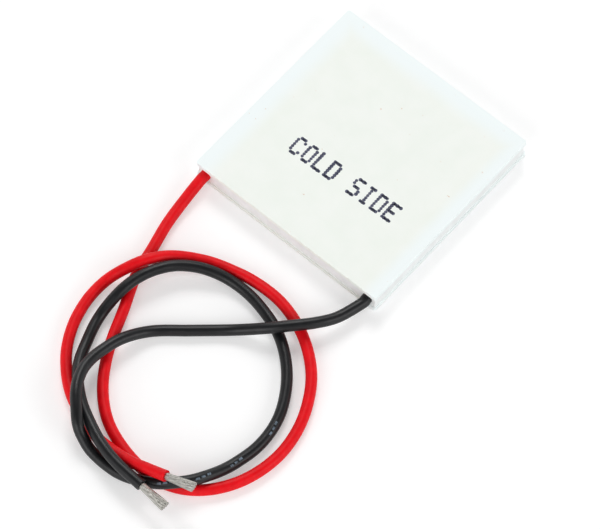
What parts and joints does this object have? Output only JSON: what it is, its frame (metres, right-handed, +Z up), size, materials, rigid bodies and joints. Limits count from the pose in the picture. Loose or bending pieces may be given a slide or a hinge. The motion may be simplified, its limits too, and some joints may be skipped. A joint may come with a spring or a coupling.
{
  "type": "thermoelectric cooling module",
  "caption": "Flat square Peltier cooling module: two white ceramic plates with semiconductor legs soldered between them, a silicone edge seal, and a red and a black lead with tinned ends.",
  "frame": {"origin": "middle of the hot plate's underside, on the surface that the module lies on", "axes": "+Z up through the stack from the hot face to the cold face, -Y towards the edge that the leads leave, +X towards the black lead"},
  "size_m": [0.0348, 0.0691, 0.0054],
  "materials": {
    "ceramic": "matte, ground and lapped",
    "silicone": "matte",
    "copper": "satin copper",
    "solder": "satin",
    "n_semiconductor": "satin",
    "p_semiconductor": "satin",
    "red_insulation": "semi-gloss",
    "black_insulation": "semi-gloss",
    "tinned_copper": "satin"
  },
  "bodies": {
    "root": {"cold_plate": "ceramic", "hot_plate": "ceramic", "edge_seal": "silicone", "cold_bridges": "copper", "hot_bridges": "copper", "cold_solder": "solder", "hot_solder": "solder", "positive_pad": "copper", "negative_pad": "copper", "positive_joint": "solder", "negative_joint": "solder", "red_lead_core": "tinned_copper", "black_lead_core": "tinned_copper", "red_lead": "red_insulation", "black_lead": "black_insulation", "red_tinned_end": "tinned_copper", "black_tinned_end": "tinned_copper", "n_legs_column_01": "n_semiconductor", "n_legs_column_02": "n_semiconductor", "n_legs_column_03": "n_semiconductor", "n_legs_column_04": "n_semiconductor", "n_legs_column_05": "n_semiconductor", "n_legs_column_06": "n_semiconductor", "n_legs_column_07": "n_semiconductor", "n_legs_column_08": "n_semiconductor", "n_legs_column_09": "n_semiconductor", "n_legs_column_10": "n_semiconductor", "n_legs_column_11": "n_semiconductor", "n_legs_column_12": "n_semiconductor", "n_legs_column_13": "n_semiconductor", "n_legs_column_14": "n_semiconductor", "n_legs_column_15": "n_semiconductor", "n_legs_column_16": "n_semiconductor", "p_legs_column_01": "p_semiconductor", "p_legs_column_02": "p_semiconductor", "p_legs_column_03": "p_semiconductor", "p_legs_column_04": "p_semiconductor", "p_legs_column_05": "p_semiconductor", "p_legs_column_06": "p_semiconductor", "p_legs_column_07": "p_semiconductor", "p_legs_column_08": "p_semiconductor", "p_legs_column_09": "p_semiconductor", "p_legs_column_10": "p_semiconductor", "p_legs_column_11": "p_semiconductor", "p_legs_column_12": "p_semiconductor", "p_legs_column_13": "p_semiconductor", "p_legs_column_14": "p_semiconductor", "p_legs_column_15": "p_semiconductor", "p_legs_column_16": "p_semiconductor"}
  },
  "joints": []
}
